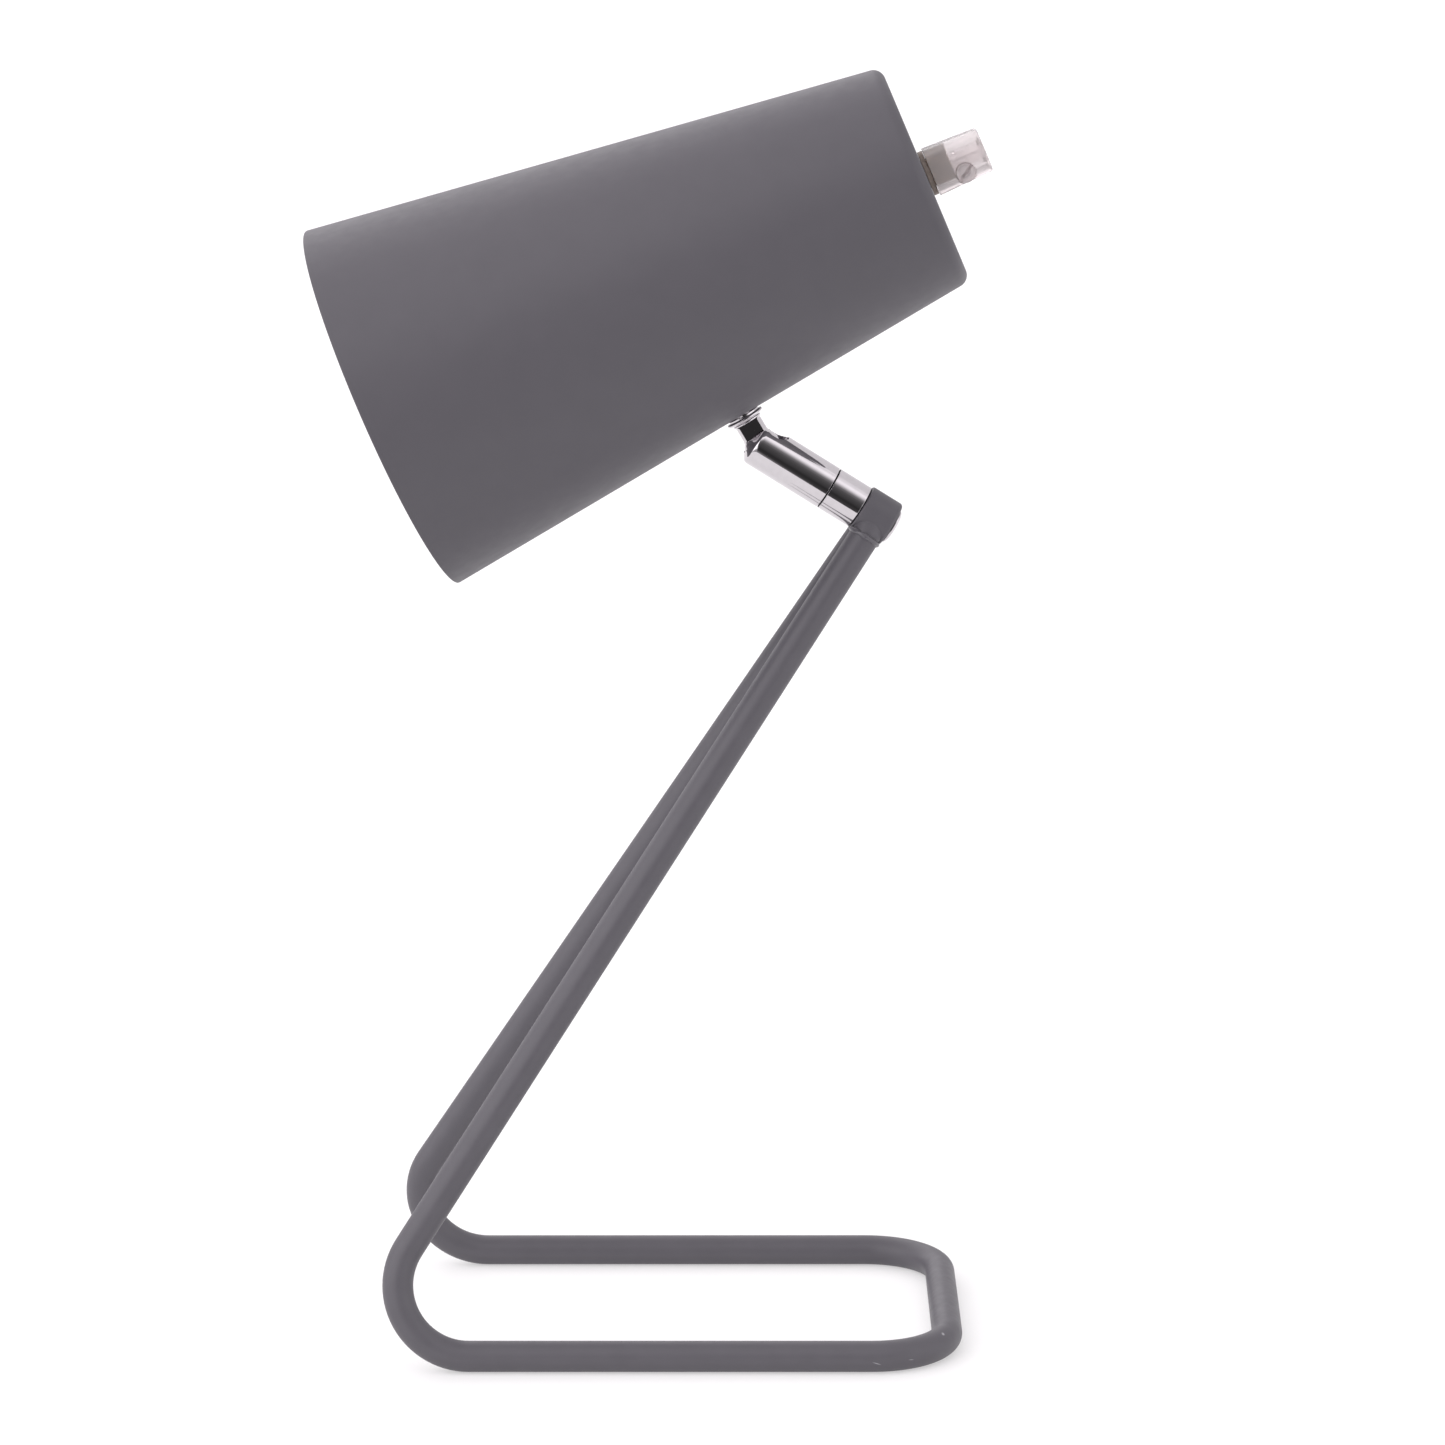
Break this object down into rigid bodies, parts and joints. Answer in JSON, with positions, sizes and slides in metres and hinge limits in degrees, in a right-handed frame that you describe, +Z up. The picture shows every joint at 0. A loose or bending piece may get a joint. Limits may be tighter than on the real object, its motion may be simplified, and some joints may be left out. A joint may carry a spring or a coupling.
{
  "type": "desk lamp",
  "caption": "Desk lamp with a conical metal shade on a ball-and-swivel joint, carried by a stand bent from one round rod.",
  "frame": {"origin": "on the table, under the middle of the lamp's overall box", "axes": "+Z up, -X the way the shade's mouth faces, the lamp is symmetrical about the plane Y = 0"},
  "size_m": [0.2198, 0.1236, 0.4131],
  "materials": {
    "powder_coat": "matt fine powder coat, dark warm grey",
    "shade_coat": "matt powder coat outside, white enamel inside",
    "chrome": "mirror",
    "zinc_steel": "zinc plated",
    "brass": "turned",
    "clear_nylon": "clear, slightly frosted",
    "black_plastic": "moulded",
    "white_plastic": "moulded",
    "opal_plastic": "opal, satin",
    "ceramic": "unglazed",
    "bulb_aluminium": "bright"
  },
  "bodies": {
    "stand": {"frame_rod": "powder_coat", "collar": "powder_coat", "swivel_screw": "chrome", "knuckle_base": "chrome", "swivel_pivot": "zinc_steel", "swivel_spring_washer": "zinc_steel"},
    "knuckle": {"knuckle_barrel": "chrome", "ball_seat": "black_plastic", "seat_spring": "zinc_steel"},
    "ball": {"ball_stud": "chrome"},
    "shade": {"saddle_washer": "chrome", "inner_washer": "zinc_steel", "shade_nut": "zinc_steel", "shade_shell": "shade_coat", "end_washer": "zinc_steel", "cord_grip": "clear_nylon", "clamp_screw": "clear_nylon", "nipple": "brass", "nipple_lock_washer": "zinc_steel", "nipple_nut": "brass", "holder_cap": "black_plastic", "holder_body": "black_plastic", "contact_block": "ceramic", "screw_shell": "brass", "centre_contact": "brass", "terminal_screw_1": "zinc_steel", "terminal_screw_2": "zinc_steel", "bulb_tip": "zinc_steel", "bulb_insulator": "black_plastic", "bulb_cap": "bulb_aluminium", "bulb_housing": "white_plastic", "bulb_board": "bulb_aluminium", "bulb_diffuser": "opal_plastic"}
  },
  "joints": [
    {"name": "knuckle_swivel", "type": "hinge", "parent": "stand", "child": "knuckle", "pos_m": [0.05775, 0, 0.27934], "axis": [-0.8478, 0, 0.5304], "range_deg": [-80, 80]},
    {"name": "shade_tilt", "type": "hinge", "parent": "knuckle", "child": "ball", "pos_m": [0.03648, 0, 0.29264], "axis": [0, 1, 0], "range_deg": [-27, 62]},
    {"name": "shade_turn", "type": "hinge", "parent": "ball", "child": "shade", "pos_m": [0.03648, 0, 0.29264], "axis": [-0.509, 0, 0.8607], "range_deg": [-40, 40]}
  ]
}
